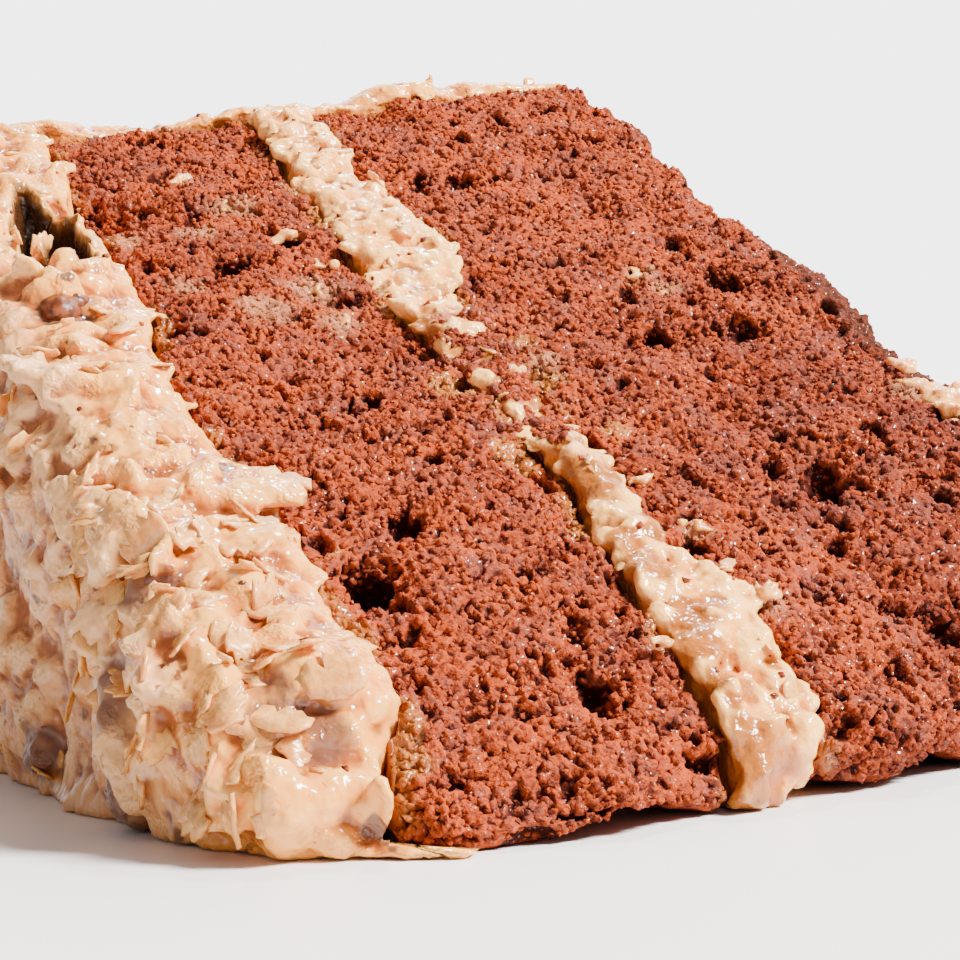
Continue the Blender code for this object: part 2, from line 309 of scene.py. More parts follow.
def apply_modifiers(piece):
    graph = bpy.context.evaluated_depsgraph_get()
    mesh = bpy.data.meshes.new_from_object(piece.evaluated_get(graph))
    piece.modifiers.clear()
    piece.data = mesh


def remesh(piece, voxel, rounds=0):
    """Rebuilds a piece from even squares. Shapes that overlap melt into one skin, and rounds soften it."""
    squares = piece.modifiers.new("squares", "REMESH")
    squares.mode = "VOXEL"
    squares.voxel_size = voxel * MM
    if rounds:
        soft = piece.modifiers.new("soft", "SMOOTH")
        soft.factor = 0.5
        soft.iterations = rounds
    apply_modifiers(piece)


def corners(mesh, what="co"):
    """The places of a mesh's corners, or their normals."""
    values = np.empty(len(mesh.vertices) * 3)
    mesh.vertices.foreach_get(what, values)
    return values.reshape(-1, 3)


def move_corners(piece, points):
    piece.data.vertices.foreach_set("co", points.ravel())
    piece.data.update()


def triangle_count(piece):
    return sum(len(face.vertices) - 2 for face in piece.data.polygons)


def paint(piece, name, values):
    """Stores a value for each corner of the mesh, for its material to read."""
    attribute = piece.data.attributes.new(name, "FLOAT", "POINT")
    attribute.data.foreach_set("value", np.ascontiguousarray(values, np.float32))


def tree_of(*meshes):
    """A search tree over the surfaces of some meshes."""
    bm = bmesh.new()
    for mesh in meshes:
        bm.from_mesh(mesh)
    tree = BVHTree.FromBMesh(bm)
    bm.free()
    return tree


def distances(tree, points, reach):
    """How far each point lies from the surface in mm, and at most the reach."""
    found = np.full(len(points), float(reach))
    for number, point in enumerate(points):
        near = tree.find_nearest(point, reach * MM)
        if near[0] is not None:
            found[number] = near[3] / MM
    return found


def patches(points, size, seed=0):
    """Soft noise from about -1 to 1 at many points, with patches of a size in mm."""
    shift = Vector((seed, seed * 2, seed * 3))
    return np.array([noise.noise(Vector(point) / (size * MM) + shift) for point in points])


def hollows(mesh, rounds):
    """How far each corner lies below the average of its surroundings, in mm. More rounds look wider."""
    edges = np.empty(len(mesh.edges) * 2, np.int64)
    mesh.edges.foreach_get("vertices", edges)
    first, second = edges.reshape(-1, 2).T
    points = corners(mesh)
    size = len(points)
    neighbours = np.bincount(first, minlength=size) + np.bincount(second, minlength=size)
    level = points.copy()
    for _ in range(rounds):
        sums = [
            np.bincount(first, level[second, axis], size) + np.bincount(second, level[first, axis], size)
            for axis in range(3)
        ]
        level = np.stack(sums, 1) / neighbours[:, None]
    return ((level - points) * corners(mesh, "normal")).sum(1) / MM


def thin_hidden(piece, trees, triangles):
    """Thins a piece to so many triangles, and takes them first where a neighbour hides it."""
    points = corners(piece.data)
    below = slice_measures(points)[2]
    away = np.minimum.reduce([distances(tree, points, NEIGHBOUR_REACH) for tree in trees])
    covered = (away < NEIGHBOUR_COVERS) & (below > COVERED_DEPTH)
    under = (points[:, 2] < FLOOR_SKIN * MM) & (below > UNDER_DEPTH)
    group = piece.vertex_groups.new(name="hidden")
    group.add(range(len(points)), SHOWN_WEIGHT, "REPLACE")
    group.add(np.flatnonzero(covered | under).tolist(), 1.0, "REPLACE")
    thin = piece.modifiers.new("thin", "DECIMATE")
    thin.vertex_group = "hidden"
    thin.vertex_group_factor = THIN_HIDDEN_FIRST
    thin.ratio = min(1.0, triangles / triangle_count(piece))
    apply_modifiers(piece)
    piece.vertex_groups.clear()


nodes = {name: node.data for name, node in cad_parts.items()}
frosting_tree = tree_of(nodes["coconut_frosting"])
filling_tree = tree_of(nodes["coconut_filling"])
sponge_tree = tree_of(nodes["upper_sponge"], nodes["lower_sponge"])
print("search trees ready")

# %% [markdown]
# Cut sponge is an open crumb: grains of half a millimetre hang together in clumps, with dark pores between
# them and a few larger holes. All of it is real relief. The height at a point is a sum: swells, round
# grains from a cellular pattern with gaps along the borders of its cells, and pores where a soft noise is
# high. A push to the side makes small overhangs.

# %% Describe the crumb
CLUMP_SIZE, CLUMP_HEIGHT = 3.2, 0.36
GRAIN_SIZE, GRAIN_HEIGHT, GAP_DEPTH = 0.62, 0.26, 0.30
FINE_SIZE, FINE_HEIGHT = 0.34, 0.14
PORE_SIZE, PORE_DEPTH = 1.05, 0.95
HOLE_SIZE, HOLE_DEPTH = 3.0, 1.6
SIDE_SIZE, SIDE_PUSH = 0.6, 0.22
DEPTH_OF_FULL_SHADE, HOLLOW_OF_FULL_SHADE = 1.7, 0.26
HOLES = (
    (4.8, 32.6, 1.7, 2.6), (5.2, 29.5, 1.2, 2.0), (9.6, 39.1, 1.3, 1.6), (2.6, 37.7, 1.3, 1.8),
    (45.5, 40.8, 1.8, 2.0), (40.6, 38.5, 1.2, 1.4), (54.0, 75.6, 2.0, 1.8), (51.1, 65.6, 1.6, 1.5),
    (38.4, 104, 1.8, 1.6), (39.0, 94.3, 1.6, 1.6), (9.9, 87.3, 1.8, 1.8), (29.5, 32.6, 1.2, 1.6),
    (38.8, 16.0, 1.4, 1.8), (45.7, 23.8, 1.4, 1.6), (15.5, 19.4, 1.2, 1.6), (42.9, 66, 1.4, 1.2),
    (17.5, 77.3, 1.4, 1.4), (5.5, 104.0, 1.6, 2.0), (3.2, 100.5, 1.5, 2.0),
)


def ease(value, low, high):
    share = min(1.0, max(0.0, (value - low) / (high - low)))
    return share * share * (3 - 2 * share)


def crumb_height(point):
    """Height of the crumb in mm, at a point in mm."""
    bent = point + noise.noise_vector(point / 1.6) * 0.35
    near, next_near = noise.voronoi(bent / GRAIN_SIZE)[0][:2]
    dome = 0.5 - near * near * 1.6
    gap = 1 - ease(next_near - near, 0.0, 0.22)
    open_crumb = 0.35 + 0.65 * ease(noise.noise(point / 4.5 + Vector((5, 5, 2))), -0.3, 0.35)
    pore = ease(noise.noise(bent / PORE_SIZE + Vector((2, 9, 4))), 0.14, 0.48)
    hole = ease(noise.noise(bent / HOLE_SIZE + Vector((7, 3, 1))), 0.34, 0.60)
    height = noise.noise(point / CLUMP_SIZE) * CLUMP_HEIGHT + noise.noise(point / FINE_SIZE) * FINE_HEIGHT
    height += dome * GRAIN_HEIGHT - gap * GAP_DEPTH * open_crumb
    return height - pore * PORE_DEPTH * open_crumb - hole * HOLE_DEPTH


def hole_depths(points):
    """How much deeper the named holes are at many points, in mm."""
    x, r, below = slice_measures(points)
    ragged = patches(points, 1.2, 4) * 0.35
    depth = np.zeros(len(points))
    for hole_x, hole_r, radius, deep in HOLES:
        out = np.hypot(x - hole_x, (r - hole_r) * 0.8) / radius + ragged
        depth = np.maximum(depth, deep * share(1 - out * out) * share(1 - (below - 3) / 3))
    return depth


print("crumb described, with", len(HOLES), "named holes")

# %% [markdown]
# Only the cut side and the tip are divided finely, into squares of about a fifth of a millimetre. The
# hidden sides are thinned afterwards.

# %% Shape the crumb
CRUMB_SQUARES = {"upper_sponge": 0.80, "lower_sponge": 0.96}
CRUMB_DIVISIONS = 2
CRUMB_TRIANGLES = 196000
LIFT, FRONT_EDGE, LIFT_FADE = 1.5, 11.0, 6.0
LIFTED_STRETCHES = ((15.0, 5.0, 1.4), (35.0, 7.0, 1.3))
CRUST_BORDER, CRUST_BLEND, CRUST_SMOOTHS = 60.2, 1.2, 0.55


def shows_cut(face):
    return face.normal.z > 0.5 or face.normal.y < -0.45


def divide_shown(bm, times):
    for _ in range(times):
        edges = [edge for edge in bm.edges if any(shows_cut(face) for face in edge.link_faces)]
        bmesh.ops.subdivide_edges(bm, edges=edges, cuts=1, use_grid_fill=True)


def lifted(points):
    """How far two stretches of the front edge are lifted off the floor, in mm."""
    x, r, _ = slice_measures(points)
    stretch = sum(share(top - np.abs(x - middle) / half) for middle, half, top in LIFTED_STRETCHES)
    front = share(1.25 - (r - FRONT_EDGE) / LIFT_FADE)
    return LIFT * stretch * front * (1 + patches(points, 2.0, 8) * 0.6)


def make_crumb(node_name, name):
    """A sponge with its crumb in relief, which is finest on its cut side and its tip."""
    piece = merged_copy(node_name, name)
    remesh(piece, CRUMB_SQUARES[node_name])
    bm = bmesh.new()
    bm.from_mesh(piece.data)
    divide_shown(bm, CRUMB_DIVISIONS)
    bm.to_mesh(piece.data)
    bm.free()
    points, normals = corners(piece.data), corners(piece.data, "normal")
    heights = np.array([crumb_height(Vector(point) / MM) for point in points]) - hole_depths(points)
    x = slice_measures(points)[0]
    crust = share(normals[:, 0] / 0.4 - 0.8) * (x > 50)
    heights *= 1 - CRUST_SMOOTHS * crust
    side = np.array([noise.noise_vector(Vector(point) / (SIDE_SIZE * MM)) for point in points]) * SIDE_PUSH
    moved = points + (normals * heights[:, None] + side) * MM * share(points[:, 2:] / MM)
    moved[:, 2] = np.maximum(moved[:, 2], lifted(moved) * MM)
    move_corners(piece, moved)
    # Painted shade: the pores, holes and hollows are darkened by how deep they lie.
    depth = (0.1 - heights) / DEPTH_OF_FULL_SHADE + hollows(piece.data, 7) / HOLLOW_OF_FULL_SHADE * 0.6
    paint(piece, "depth", share(depth) * (1 - 0.7 * crust))
    at_base = share((x - CRUST_BORDER + patches(points, 3, 6)) / CRUST_BLEND)
    paint(piece, "crust", np.maximum(crust, at_base))
    return piece


upper_crumb = make_crumb("upper_sponge", "upper_crumb")
lower_crumb = make_crumb("lower_sponge", "lower_crumb")
print("crumb triangles:", triangle_count(upper_crumb), triangle_count(lower_crumb))
thin_hidden(upper_crumb, (frosting_tree, filling_tree), CRUMB_TRIANGLES)
thin_hidden(lower_crumb, (frosting_tree, filling_tree), CRUMB_TRIANGLES)
print("thinned to:", triangle_count(upper_crumb), triangle_count(lower_crumb))

# %% [markdown]
# Where frosting or filling touches the crumb, its syrup soaks in and turns the edge amber. A few places are
# soaked through, and in some the knife smeared a thin film of frosting on it. The base of the lower sponge
# is a darker crust, because it lay on the tin, and its near part is painted darker, as painted shade. All
# of that is painted on the mesh.

# %% Paint the soaked edge and the crust
SOAK_REACH = 3.2
SOAKED_THROUGH = (
    (0.6, 29.5, 3.6), (1.2, 25.5, 3.2), (0.6, 14.6, 3.4), (3.0, 36.0, 1.6), (23.0, 24.0, 2.4),
    (22.5, 36.0, 2.6), (21.5, 47.0, 2.6), (21.0, 58.0, 3.0), (28.5, 58.5, 3.4), (29.5, 66.0, 2.4),
    (31.0, 50.0, 2.0),
)
SMEARED = (
    (13.9, 100.7, 4.5), (8.6, 95.3, 4.0), (15.5, 72.3, 4.0), (15.2, 80.1, 4.5), (10.0, 76.0, 5.0),
    (5.0, 84.0, 3.5), (46.2, 77.1, 3.0), (47.1, 73.6, 3.0), (30.6, 35.0, 2.5), (31.5, 25.1, 2.5),
    (10.8, 110.3, 3.0), (30.0, 62.0, 3.0), (60.0, 52.0, 3.5), (0.8, 101.0, 4.5), (2.2, 95.5, 3.5),
)


def paint_crumb(piece):
    points = corners(piece.data)
    x, r, below = slice_measures(points)
    to_frosting = distances(frosting_tree, points, SOAK_REACH)
    to_sweet = np.minimum(to_frosting, distances(filling_tree, points, SOAK_REACH))
    uneven = patches(points, 4, 3)
    soak = (1 - to_sweet / SOAK_REACH) * np.clip(0.5 + 1.3 * uneven, 0, 1.2)
    for spot_x, spot_r, radius in SOAKED_THROUGH:
        out = np.sqrt((x - spot_x) ** 2 + (r - spot_r) ** 2 + below ** 2 * 0.3) / radius
        soak = np.maximum(soak, share(1.9 - 2 * out - uneven * 0.6))
    paint(piece, "soak", soak)
    smear = np.zeros(len(points))
    for spot_x, spot_r, radius in SMEARED:
        smear = np.maximum(smear, 1 - np.hypot(x - spot_x, r - spot_r) / radius)
    paint(piece, "smear", smear)
    # Painted shade: darker towards the base and the near end.
    paint(piece, "near_base_shade", share((x - 30) / 25) * share((78 - r) / 34))


paint_crumb(upper_crumb)
paint_crumb(lower_crumb)
print("soaked spots:", len(SOAKED_THROUGH), "smeared spots:", len(SMEARED))

# %% [markdown]
# Crumb is a warm reddish brown, more orange on the grains and a little uneven from place to place. Its pores
# and hollows are painted nearly black by their depth, which is painted shade, and violet-grey patches of
# painted sheen lie between. Moist grains glint in small specks.

# %% Finish the crumb
CRUMB_DARK = (0.034, 0.0042, 0.0019)
CRUMB_MIDDLE = (0.122, 0.0160, 0.0052)
CRUMB_LIGHT = (0.345, 0.051, 0.0098)
CRUMB_SHEEN = (0.138, 0.044, 0.032)
CRUMB_SOAKED = (0.350, 0.100, 0.010)
CRUMB_SMEARED = (0.430, 0.175, 0.080)
CRUST = (0.056, 0.0165, 0.0095)
HOLLOW_SHADE = (0.040, 0.014, 0.005)

crumb = Finish("chocolate_crumb", Specular_IOR_Level=0.1, Roughness=0.9, Coat_Roughness=0.15)
broad = crumb.speckle(9).ease(0.3, 0.7)
grain = crumb.speckle(0.5, 3).ease(0.3, 0.72)
speck = crumb.speckle(0.22, 2)
depth = crumb.painted("depth")
# Painted shade: the pores are darkened by their depth, here and in the blend to CRUMB_DARK below, and the
# near part of the base is darkened as well.
light = grain * 0.6 + speck * 0.8 + broad * 0.3 - depth * 0.9 - crumb.painted("near_base_shade") * 0.38
tone = light.ease(0.25, 1.1).blend(CRUMB_MIDDLE, CRUMB_LIGHT)
# Painted sheen: violet-grey patches where moist crumb would reflect light, placed by noise.
sheen_patches = (crumb.speckle(3.5, 3) * 0.8 + crumb.speckle(0.4, 2) * 0.7).ease(0.72, 0.92)
tone = (sheen_patches * 0.6).blend(tone, CRUMB_SHEEN)
tone = (depth + (0.5 - speck) * 0.7 + (0.5 - grain) * 0.2).ease(0.17, 0.70).blend(tone, CRUMB_DARK)
soaked = crumb.painted("soak").ease(0.25, 0.75)
tone = (soaked * (0.9 - depth * 0.6)).blend(tone, CRUMB_SOAKED)
smear = (crumb.painted("smear") + crumb.speckle(1.6, 3) - 0.5).ease(0.25, 0.85)
tone = (smear * (0.65 - depth * 0.6)).blend(tone, CRUMB_SMEARED)
baked = crumb.painted("crust") * (0.8 + broad * 0.2 - grain * 0.15)
tone = baked.blend(tone, CRUST)
# Painted shade inside the deep hollow behind the frosting.
tone = crumb.painted("sunk").ease(0.02, 0.5).blend(tone, HOLLOW_SHADE)
crumb.set(Base_Color=tone, Coat_Weight=soaked * 0.6 + speck.ease(0.58, 0.66) * 0.8)
crumb.bump(grain * 0.6 + speck, 0.16, 0.9)


def dress(piece, finish):
    piece.data.shade_smooth()
    piece.data.materials.clear()
    piece.data.materials.append(finish.material)


dress(upper_crumb, crumb)
dress(lower_crumb, crumb)
print("crumb finished")

# %% [markdown]
# Loose grains stand on the crumb and give it its rough outline. A few uneven grains are made, and each is
# repeated, turned and sized many times in one mesh.

# %% Scatter shapes over a surface


def shape_arrays(bm):
    """A small shape as an array of its corners and a list of its faces."""
    bm.verts.index_update()
    places = np.array([vert.co[:] for vert in bm.verts])
    faces = np.array([[vert.index for vert in face.verts] for face in bm.faces])
    bm.free()
    return places, faces


def surface_spots(mesh, count, wanted):
    """Random spots on the faces that are wanted: their places and normals, more of them on larger faces."""
    mesh.calc_loop_triangles()
    triangles = np.array([triangle.vertices[:] for triangle in mesh.loop_triangles])
    places = corners(mesh)[triangles]
    normals = np.cross(places[:, 1] - places[:, 0], places[:, 2] - places[:, 0])
    areas = np.linalg.norm(normals, axis=1)
    normals /= np.maximum(areas, 1e-20)[:, None]
    weights = areas * wanted(places.mean(1), normals)
    chosen = chance.choice(len(triangles), count, p=weights / weights.sum())
    first, second = chance.random((2, count, 1))
    first, second = np.where(first + second > 1, (1 - first, 1 - second), (first, second))
    corner, side_a, side_b = (places[chosen, number] for number in range(3))
    return corner + (side_a - corner) * first + (side_b - corner) * second, normals[chosen]


def stand(place, normal, turned, sizes, lean=0.0):
    """The matrix that sets a shape on a surface, turned about its normal and leaning from it."""
    upright = Vector(normal).to_track_quat("Z", "Y").to_matrix().to_4x4()
    return (
        Matrix.Translation(place) @ upright @ Matrix.Rotation(turned, 4, "Z") @ Matrix.Rotation(-lean, 4, "Y")
        @ Matrix.Diagonal((*sizes, 1))
    )


def joined(name, shapes, matrices):
    """One mesh with a random one of the shapes at each matrix."""
    places_so_far, faces_so_far, count = [], [], 0
    for matrix in matrices:
        places, faces = shapes[chance.integers(len(shapes))]
        matrix = np.array(matrix)
        places_so_far.append(places @ matrix[:3, :3].T + matrix[:3, 3])
        faces_so_far.append(faces + count)
        count += len(places)
    places = np.concatenate(places_so_far)
    places[:, 2] = np.maximum(places[:, 2], FLOOR_SKIN * MM)
    mesh = bpy.data.meshes.new(name)
    mesh.from_pydata(places.tolist(), [], np.concatenate(faces_so_far).tolist())
    return new_object(name, mesh)


def lump_shape(rounds, unevenness):
    """An uneven lump of about one unit across."""
    bm = bmesh.new()
    if rounds:
        bmesh.ops.create_icosphere(bm, subdivisions=rounds, radius=0.5)
    else:
        bmesh.ops.create_cube(bm, size=0.8)
    for vert in bm.verts:
        vert.co *= chance.uniform(1 - unevenness, 1 + unevenness)
    return shape_arrays(bm)


chance = np.random.default_rng(7)
grain_shapes = [lump_shape(0, 0.35) for _ in range(24)]
print("grain shapes:", len(grain_shapes))

# %% Scatter the grains
GRAIN_SIZES = (0.24, 0.66)
GRAINS = {"upper_grains": 8500, "lower_grains": 11500}


def on_cut(places, normals):
    x, _, below = slice_measures(places)
    shown = (normals[:, 2] > 0.35) | (normals[:, 1] < -0.45)
    return (shown & (below < 14) & (x < 61)).astype(float)


def make_grains(piece, name):
    places, normals = surface_spots(piece.data, GRAINS[name] // (1), on_cut)
    matrices = []
    for place, normal in zip(places, normals):
        size = GRAIN_SIZES[0] + (GRAIN_SIZES[1] - GRAIN_SIZES[0]) * chance.random() ** 2.2
        sizes = size * chance.uniform(0.75, 1.25, 3) * MM
        matrices.append(stand(place, normal, chance.uniform(0, 2 * math.pi), sizes, chance.uniform(-1, 1)))
    grains = joined(name, grain_shapes, matrices)
    paint(grains, "depth", np.repeat(chance.uniform(-0.2, 0.4, len(matrices)), 8))
    paint_crumb(grains)
    dress(grains, crumb)
    return grains


upper_grains = make_grains(upper_crumb, "upper_grains")
lower_grains = make_grains(lower_crumb, "lower_grains")
print("grain triangles:", triangle_count(upper_grains), triangle_count(lower_grains))

# %% [markdown]
# Boiled coconut frosting is mostly coconut: shaved flakes with a sticky, creamy sauce over them, so that
# most of them show as soft ridges. The model's frosting, lumps and many flakes are remeshed together very
# finely, and so melt into one skin as the real ones do. Each row of scattered flakes gives their count,
# where they lie, their lengths, widths and depth in mm, and how they lean.

# %% Make coconut flakes
FLAKE_CUTS = 9
THICK_FLAKE, THIN_FLAKE = (0.42, 0.35), (0.14, 0.65)


def flake_shape(thickness, ragged):
    """A shaved flake of about one unit long and one wide: a bent strip with ragged sides."""
    bm = bmesh.new()
    bmesh.ops.create_grid(bm, x_segments=FLAKE_CUTS, y_segments=2, size=0.5)
    bow, curl, twist = chance.uniform(-0.35, 0.35), chance.uniform(-0.05, 0.4), chance.uniform(-0.9, 0.9)
    for vert in bm.verts:
        along = vert.co.x + 0.5
        width = 0.55 + 0.9 * math.sin(math.pi * (0.12 + 0.76 * along))
        across = vert.co.y * chance.uniform(1 - ragged, 1 + ragged * 0.4) * width
        height = curl * along * along * 0.6 + across * math.sin(twist * (along - 0.3)) * 0.6
        vert.co = (along - 0.5, across + bow * along * (1 - along) * 1.6, height)
    grown = bmesh.ops.extrude_face_region(bm, geom=bm.faces[:], use_keep_orig=True)
    upper = [item for item in grown["geom"] if isinstance(item, bmesh.types.BMVert)]
    bmesh.ops.translate(bm, verts=upper, vec=(0, 0, thickness))
    bmesh.ops.recalc_face_normals(bm, faces=bm.faces[:])
    return shape_arrays(bm)


def set_on(mesh, count, wanted, lengths, widths, sunk, leans):
    """Places on a surface for flakes or lumps, each with its own length, width and lean."""
    places, normals = surface_spots(mesh, count, wanted)
    matrices = []
    for place, normal in zip(places, normals):
        width = chance.uniform(*widths) * MM
        sizes = (chance.uniform(*lengths) * MM, width, width)
        turned, lean = chance.uniform(0, 2 * math.pi), chance.uniform(*leans)
        matrices.append(stand(place - normal * sunk * MM, normal, turned, sizes, lean))
    return matrices


def between(first, second, width, facing):
    """The matrix that lays a flake from one place to another, with its flat side facing a direction."""
    along = second - first
    out = (facing - along * facing.dot(along) / along.length_squared).normalized()
    across = out.cross(along.normalized())
    turned = Matrix((along, across * width * MM, out * width * MM)).transposed().to_4x4()
    return Matrix.Translation((first + second) / 2) @ turned


thick_flakes = [flake_shape(*THICK_FLAKE) for _ in range(16)]
thin_flakes = [flake_shape(*THIN_FLAKE) for _ in range(20)]
lump_shapes = [lump_shape(2, 0.15) for _ in range(8)]
print("flakes:", len(thick_flakes), len(thin_flakes), "faces each:", len(thick_flakes[0][1]))

# %% [markdown]
# A few shapes have their own places: large flakes, a lobe that hangs over the sponge, lumps of nut under
# the sauce, a deep hollow behind, and the thin edge where the frosting spread on the floor. Each place is
# x, r and the depth below the cut side, in mm.

# %% Name the shapes that stand out
CUT_FACING = Vector((-0.1, -0.5, 0.87))
RIDGE_FACING = Vector((-0.6, -0.6, 0.5))
LARGE_FLAKES = (
    ((-3.2, 43.4, -0.6), (1.9, 44.4, -0.6), 2.4, CUT_FACING),
    ((-2.8, 41.4, -0.8), (2.6, 40.8, -1.2), 2.6, CUT_FACING),
    ((-5.6, 36.2, -0.2), (-0.4, 35.3, -1.0), 2.8, CUT_FACING),
    ((-10.9, 33.4, 3.4), (-5.2, 35.2, -0.7), 3.2, RIDGE_FACING),
    ((-11.4, 46.2, 1.2), (-8.4, 37.2, -0.7), 2.4, RIDGE_FACING),
    ((-11.4, 32.8, 8.2), (-10.6, 28.4, 12.8), 3.0, RIDGE_FACING),
    ((-10.8, 27.6, 2.2), (-10.4, 25.4, 6.8), 2.4, RIDGE_FACING),
    ((-9.2, 52.0, -0.7), (-4.0, 47.6, -0.8), 2.0, CUT_FACING),
    ((-7.6, 60.0, -0.7), (-2.0, 57.6, -0.8), 2.2, CUT_FACING),
)
BARE_FLAKES = (
    ((-11.6, 38.4, 3.8), (-9.6, 35.4, 1.8), 2.2, RIDGE_FACING),
    ((-12.0, 38.0, 10.4), (-11.2, 34.0, 11.4), 1.3, RIDGE_FACING),
    ((-1.4, 42.6, -1.4), (3.2, 41.4, -1.9), 1.8, CUT_FACING),
    ((-5.0, 35.0, -1.1), (-1.6, 34.4, -1.5), 1.9, CUT_FACING),
    ((-11.6, 44.0, 3.0), (-9.4, 39.0, 1.4), 2.0, RIDGE_FACING),
)
LOBE = (
    (-3.2, 21.2, 0.2, 5.2), (-1.4, 19.9, 0.3, 4.6), (-0.3, 18.6, 0.9, 3.4), (-1.8, 17.4, 1.9, 3.4),
    (-3.6, 14.6, 4.2, 3.2), (-3.4, 13.6, 5.6, 3.0),
)
PALE_LUMPS = (
    (-6.3, 43.8, -0.4, 3.2), (-5.6, 41.6, -0.2, 2.4), (-8.6, 20.4, 3.6, 3.4), (-7.2, 16.8, 5.0, 2.6),
)
# Lumps of nut under the sauce; their brown is also painted over dark gaps of the ridge, as painted shade.
NUT_LUMPS = (
    (-8.9, 34.6, 1.6, 4.4), (-10.4, 33.4, 8.2, 5.2), (-5.5, 18.3, 2.2, 3.8), (-3.4, 17.4, 2.3, 3.6),
    (-4.6, 20.4, 0.9, 3.0), (-10.1, 32.8, 14.6, 5.2), (-7.2, 76.8, 0.4, 4.0), (-5.8, 78.4, 0.0, 3.0),
    (-8.6, 58.0, 0.8, 3.2), (-11.6, 55.7, 25.4, 4.4), (-12.8, 78.0, 22.0, 4.4), (-12.6, 96.0, 12.0, 4.4),
)
HOLLOW = (-4.8, 96.0, 3.6, 10.0, 11.0)
SPREAD = ((-7.8, 21.2), (-6.3, 17.9), (-4.3, 15.0), (-2.3, 12.9), (-0.6, 11.5), (0.8, 10.6), (2.0, 10.1))


def lumps_at(spots):
    matrices = []
    for x, r, below, size in spots:
        sizes = (size * MM, size * MM, size * 0.8 * MM)
        matrices.append(stand(slice_place(x, r, below), CUT_FACING, chance.uniform(0, 6), sizes))
    return matrices


def spread_lumps():
    """Flat lumps on the floor in front of the tip, each half under it and joined to the next."""
    matrices = []
    for x, out in SPREAD:
        place = Vector((LAYERS_START + x * MM, MIDDLE_LINE + out * MM, 0.2 * MM))
        matrices.append(stand(place, (0, 0, 1), -0.9, (4.4 * MM, 2.4 * MM, 1.5 * MM)))
    return matrices


def flakes_at(flakes):
    return [
        between(slice_place(*first), slice_place(*second), width, facing)
        for first, second, width, facing in flakes
    ]


print("named shapes:", len(LARGE_FLAKES) + len(BARE_FLAKES) + len(LOBE) + len(PALE_LUMPS) + len(NUT_LUMPS))

# %% Melt the frosting together
SKIN_SQUARE = 0.36
FROSTING_TRIANGLES = 192000


def frosting_cut(places, normals):
    _, r, below = slice_measures(places)
    return ((below < 2.5) & (normals[:, 2] > 0.2) | (normals[:, 1] < -0.6) & (r < 30)).astype(float)


def frosting_outside(places, normals):
    _, r, below = slice_measures(places)
    top = (normals[:, 0] < -0.4) & (below > 1)
    rim = (normals[:, 1] > 0.3) & (r > 127) & (below > 4)
    return ((top | rim) & (places[:, 2] > 1 * MM)).astype(float)


def frosting_inner(places, normals):
    """The part of the cut frosting that lies away from the sponge."""
    return frosting_cut(places, normals) * (slice_measures(places)[0] < -3.0)


def frosting_tip(places, normals):
    return frosting_inner(places, normals) * (slice_measures(places)[1] < 27)


def frosting_near(places, normals):
    """The nearest part of the frosting, on the cut side and on the ridge beside it."""
    x, r, below = slice_measures(places)
    return ((below < 9) & (r < 50) & (x < -1.5) & (normals[:, 2] > -0.3)).astype(float)


def join_meshes(name, pieces):
    """Puts the meshes of some pieces into one new piece, and removes them."""
    bm = bmesh.new()
    for piece in pieces:
        bm.from_mesh(piece.data)
        bpy.data.objects.remove(piece)
    return object_of(name, bm)


def keep_largest_shell(piece):
    """Drops the pockets and scraps that remeshing leaves inside or beside a piece."""
    bm = bmesh.new()
    bm.from_mesh(piece.data)
    shells, seen = [], set()
    for start in bm.verts:
        if start in seen:
            continue
        seen.add(start)
        shell, border = [start], [start]
        while border:
            for edge in border.pop().link_edges:
                for other in edge.verts:
                    if other not in seen:
                        seen.add(other)
                        shell.append(other)
                        border.append(other)
        shells.append(shell)
    shells.sort(key=len, reverse=True)
    bmesh.ops.delete(bm, geom=[vert for shell in shells[1:] for vert in shell], context="VERTS")
    bm.to_mesh(piece.data)
    bm.free()
    return len(shells) - 1


def melted(name, plain, flakes, lumps):
    """One skin over a plain piece, flakes and lumps, and a search tree of its flakes."""
    flake_piece = joined("flakes", thick_flakes, flakes)
    flake_tree = tree_of(flake_piece.data)
    skin = join_meshes(name, [plain, flake_piece, joined("lumps", lump_shapes, lumps)])
    remesh(skin, SKIN_SQUARE, 1)
    scraps = keep_largest_shell(skin)
    print(name + ":", triangle_count(skin), "triangles,", scraps, "scraps dropped")
    return skin, flake_tree


def sink_hollow(piece):
    """Sinks the deep hollow between the frosting and the upper sponge, and marks it for painted shade."""
    hollow_x, hollow_r, across, along, deep = HOLLOW
    points = corners(piece.data)
    x, r, below = slice_measures(points)
    out = np.hypot((x - hollow_x) / across, (r - hollow_r) / along) + patches(points, 2.5, 5) * 0.3
    down = deep * share(1.7 - 1.7 * out * out) * share(1 - below / 16)
    points -= np.array(CUT_FACING) * down[:, None] * MM
    move_corners(piece, points)
    # Painted shade: marks the hollow and its rim for a dark colour.
    paint(piece, "sunk", share(2.0 - 1.7 * out * out) * share(1 - below / 16))


FROSTING_SCATTER = (
    ("cut", 220, frosting_inner, (3.5, 8), (1.3, 2.8), 0.85, (-0.1, 0.15)),
    ("outside", 420, frosting_outside, (4, 9), (1.6, 3.2), 1.0, (-0.1, 0.1)),
    ("cut", 110, frosting_tip, (1.6, 4.5), (0.9, 2.0), 0.3, (-0.2, 0.3)),
    ("cut", 420, frosting_cut, (1.4, 3.6), (0.7, 1.4), 0.35, (-0.2, 0.3)),
    ("outside", 700, frosting_outside, (1.6, 4.0), (0.8, 1.6), 0.4, (-0.2, 0.25)),
    ("lumps", 100, frosting_inner, (2.5, 5), (2.4, 4.2), 0.5, (0, 0)),
    ("lumps", 260, frosting_outside, (3, 7), (2.6, 5.0), 1.0, (0, 0)),
    ("lumps", 50, frosting_tip, (1.6, 3.4), (1.4, 3.0), 0.3, (0, 0)),
)

